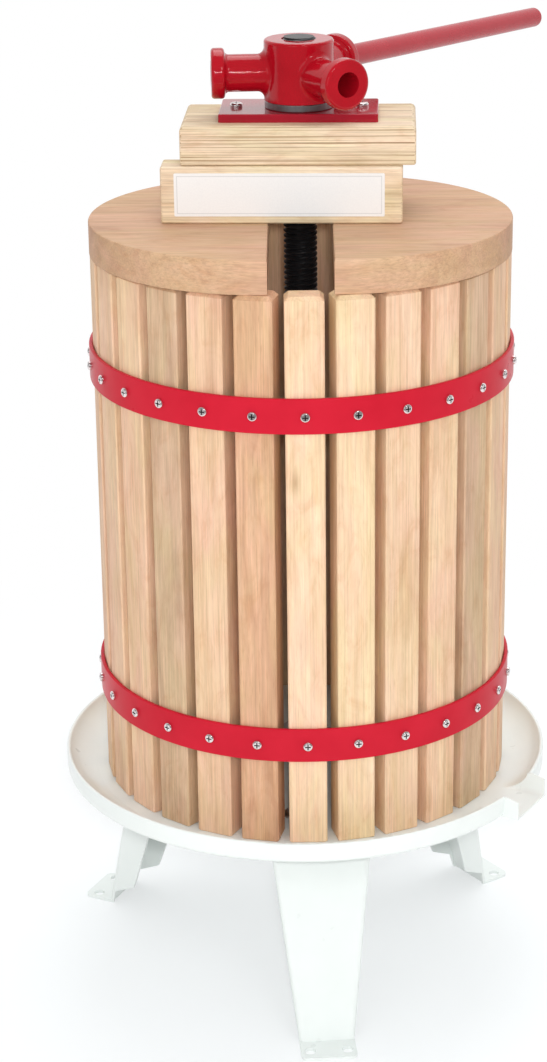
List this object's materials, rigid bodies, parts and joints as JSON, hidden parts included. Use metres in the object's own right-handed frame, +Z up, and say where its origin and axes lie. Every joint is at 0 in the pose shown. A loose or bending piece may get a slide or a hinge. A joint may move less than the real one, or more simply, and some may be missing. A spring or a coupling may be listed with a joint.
{
  "type": "fruit press",
  "caption": "Basket fruit press: slatted wooden basket with red hoops on a white legged tray with a spout, and a lever nut on a central screw that drives wooden blocks down.",
  "frame": {"origin": "on the ground plane under the feet, on the axis of the screw spindle", "axes": "+Z up along the spindle; -Y towards the front leg's side, where the blank label faces; +X to the right seen from the front"},
  "size_m": [0.3979, 0.5688, 0.733],
  "materials": {
    "white_enamel": "gloss white enamel on pressed sheet steel",
    "zinc_steel": "zinc plated",
    "black_steel": "black oxide, oiled",
    "slat_wood": "planed hardwood, thin clear oil",
    "hoop_red": "gloss red paint",
    "bright_screws": "bright plated",
    "board_wood": "planed hardwood, unfinished",
    "block_wood": "planed hardwood, unfinished",
    "label_white": "blank white label card",
    "plate_red": "gloss red paint",
    "washer_steel": "turned steel",
    "nut_red": "gloss red paint on an iron casting",
    "lever_red": "red paint on steel tube"
  },
  "bodies": {
    "stand": {"tray": "white_enamel", "spout": "white_enamel", "leg_front": "white_enamel", "leg_left": "white_enamel", "leg_right": "white_enamel", "leg_bolts": "zinc_steel", "leg_nuts": "zinc_steel", "leg_washers": "zinc_steel", "spindle_plate": "zinc_steel", "spindle_upper_nut": "zinc_steel", "spindle_upper_washer": "zinc_steel", "spindle_lower_nut": "zinc_steel", "spindle_lower_washer": "zinc_steel", "spindle": "black_steel"},
    "basket": {"slat_01": "slat_wood", "slat_02": "slat_wood", "slat_03": "slat_wood", "slat_04": "slat_wood", "slat_05": "slat_wood", "slat_06": "slat_wood", "slat_07": "slat_wood", "slat_08": "slat_wood", "slat_09": "slat_wood", "slat_10": "slat_wood", "slat_11": "slat_wood", "slat_12": "slat_wood", "slat_13": "slat_wood", "slat_14": "slat_wood", "slat_15": "slat_wood", "slat_16": "slat_wood", "slat_17": "slat_wood", "slat_18": "slat_wood", "slat_19": "slat_wood", "slat_20": "slat_wood", "slat_21": "slat_wood", "slat_22": "slat_wood", "slat_23": "slat_wood", "slat_24": "slat_wood", "slat_25": "slat_wood", "slat_26": "slat_wood", "slat_27": "slat_wood", "lower_hoop": "hoop_red", "upper_hoop": "hoop_red", "lower_hoop_screws": "bright_screws", "upper_hoop_screws": "bright_screws"},
    "left_board": {"board_left": "board_wood"},
    "right_board": {"board_right": "board_wood"},
    "front_spacer": {"front_block": "block_wood", "label": "label_white"},
    "rear_spacer": {"rear_block": "block_wood"},
    "head": {"head_block": "block_wood", "pressure_plate": "plate_red", "plate_screws": "bright_screws"},
    "nut_carrier": {"thrust_washer": "washer_steel"},
    "nut": {"press_nut": "nut_red"},
    "lever_bar": {"lever": "lever_red"}
  },
  "joints": [
    {"name": "basket_turn", "type": "hinge", "parent": "stand", "child": "basket", "pos_m": [0, 0, 0.1625], "axis": [0, 0, 1], "continuous": true},
    {"name": "left_board_close", "type": "slide", "parent": "basket", "child": "left_board", "axis": [0.7914, 0.6114, 0], "range_m": [0, 0.02919]},
    {"name": "right_board_close", "type": "slide", "parent": "basket", "child": "right_board", "axis": [-0.7914, 0.6114, 0], "range_m": [0, 0.02919]},
    {"name": "front_spacer_slide", "type": "slide", "parent": "stand", "child": "front_spacer", "axis": [0, -1, 0], "range_m": [0, 0.06]},
    {"name": "rear_spacer_slide", "type": "slide", "parent": "stand", "child": "rear_spacer", "axis": [0, 1, 0], "range_m": [0, 0.06]},
    {"name": "head_turn", "type": "hinge", "parent": "stand", "child": "head", "pos_m": [0, 0, 0.6475], "axis": [0, 0, 1], "range_deg": [-90, 90]},
    {"name": "nut_travel", "type": "slide", "parent": "stand", "child": "nut_carrier", "axis": [0, 0, 1], "range_m": [0, 0.038]},
    {"name": "nut_turn", "type": "hinge", "parent": "nut_carrier", "child": "nut", "pos_m": [0, 0, 0.6875], "axis": [0, 0, 1], "range_deg": [0, 3420]},
    {"name": "lever_slide", "type": "slide", "parent": "nut", "child": "lever_bar", "axis": [0.4839, 0.8729, -0.0628], "range_m": [0, 0.018]}
  ],
  "couplings": [
    {"joint": "nut_travel", "follows": "nut_turn", "m_per_rad": 0.00063662}
  ]
}
